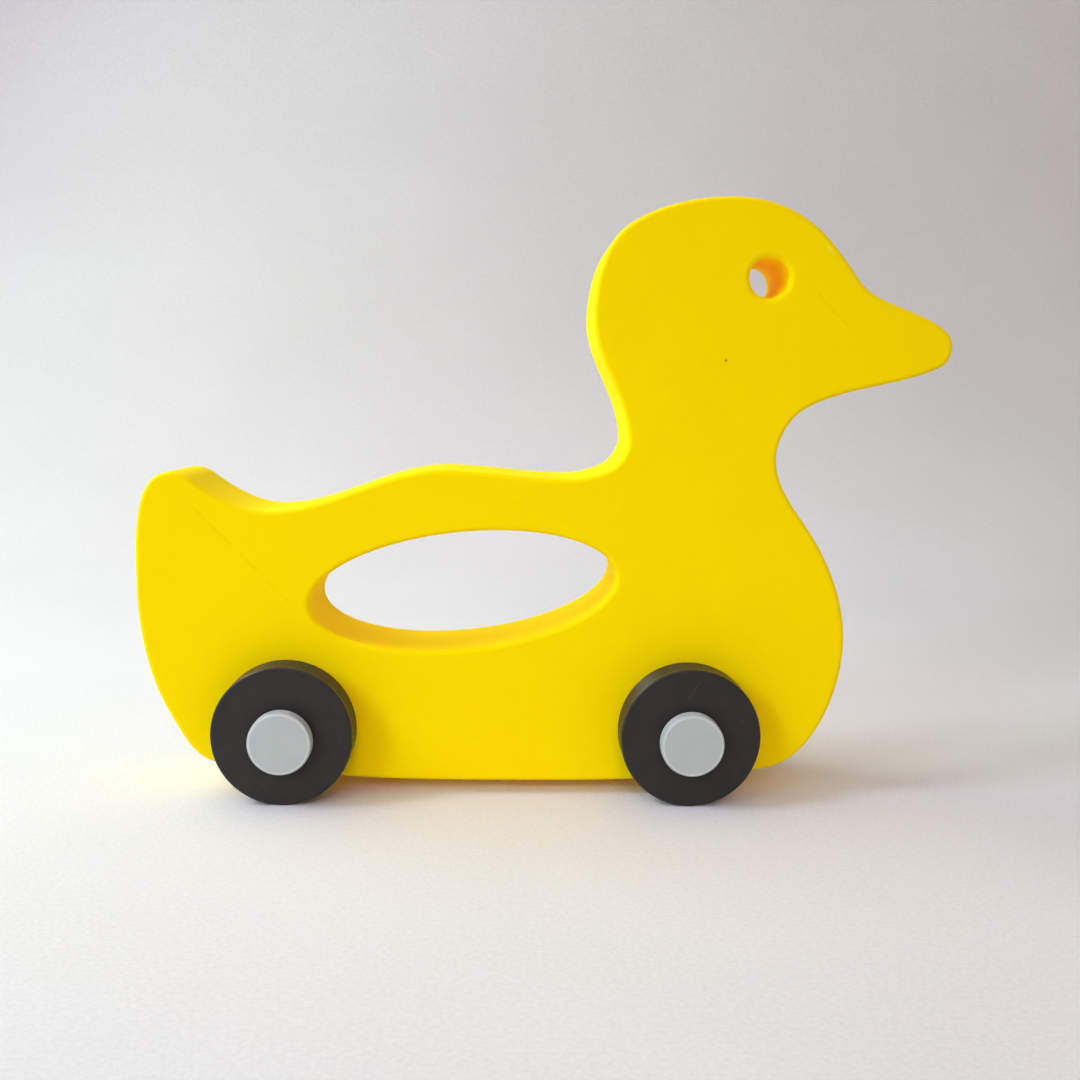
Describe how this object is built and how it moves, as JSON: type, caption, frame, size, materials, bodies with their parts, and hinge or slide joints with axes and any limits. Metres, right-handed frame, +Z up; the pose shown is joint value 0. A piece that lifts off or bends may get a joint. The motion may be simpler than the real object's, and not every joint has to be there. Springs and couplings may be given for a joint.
{
  "type": "push-along toy duck on wheels",
  "caption": "Flat thick duck-shaped push toy with an oval hand hole and a round eye hole, on black wheels that turn on flat-headed grey pegs.",
  "frame": {"origin": "on the floor under the middle of the length, in the middle plane of the slab", "axes": "+X forward towards the beak, +Y to the duck's left, +Z up"},
  "size_m": [0.16, 0.0424, 0.1188],
  "materials": {
    "body": "yellow printed plastic, satin, with rounded edges",
    "wheel": "black printed plastic, matte",
    "peg": "light grey printed plastic, satin"
  },
  "bodies": {
    "body": {"duck_body": "body", "axle_peg_rear_right": "peg", "axle_peg_front_right": "peg", "axle_peg_rear_left": "peg", "axle_peg_front_left": "peg"},
    "rear_right_wheel": {"wheel_rear_right": "wheel"},
    "front_right_wheel": {"wheel_front_right": "wheel"},
    "rear_left_wheel": {"wheel_rear_left": "wheel"},
    "front_left_wheel": {"wheel_front_left": "wheel"}
  },
  "joints": [
    {"name": "rear_right_spin", "type": "hinge", "parent": "body", "child": "rear_right_wheel", "pos_m": [-0.0505, -0.01485, 0.0138], "axis": [0, 1, 0], "continuous": true},
    {"name": "front_right_spin", "type": "hinge", "parent": "body", "child": "front_right_wheel", "pos_m": [0.0294, -0.01485, 0.0138], "axis": [0, 1, 0], "continuous": true},
    {"name": "rear_left_spin", "type": "hinge", "parent": "body", "child": "rear_left_wheel", "pos_m": [-0.0505, 0.01485, 0.0138], "axis": [0, 1, 0], "continuous": true},
    {"name": "front_left_spin", "type": "hinge", "parent": "body", "child": "front_left_wheel", "pos_m": [0.0294, 0.01485, 0.0138], "axis": [0, 1, 0], "continuous": true}
  ]
}
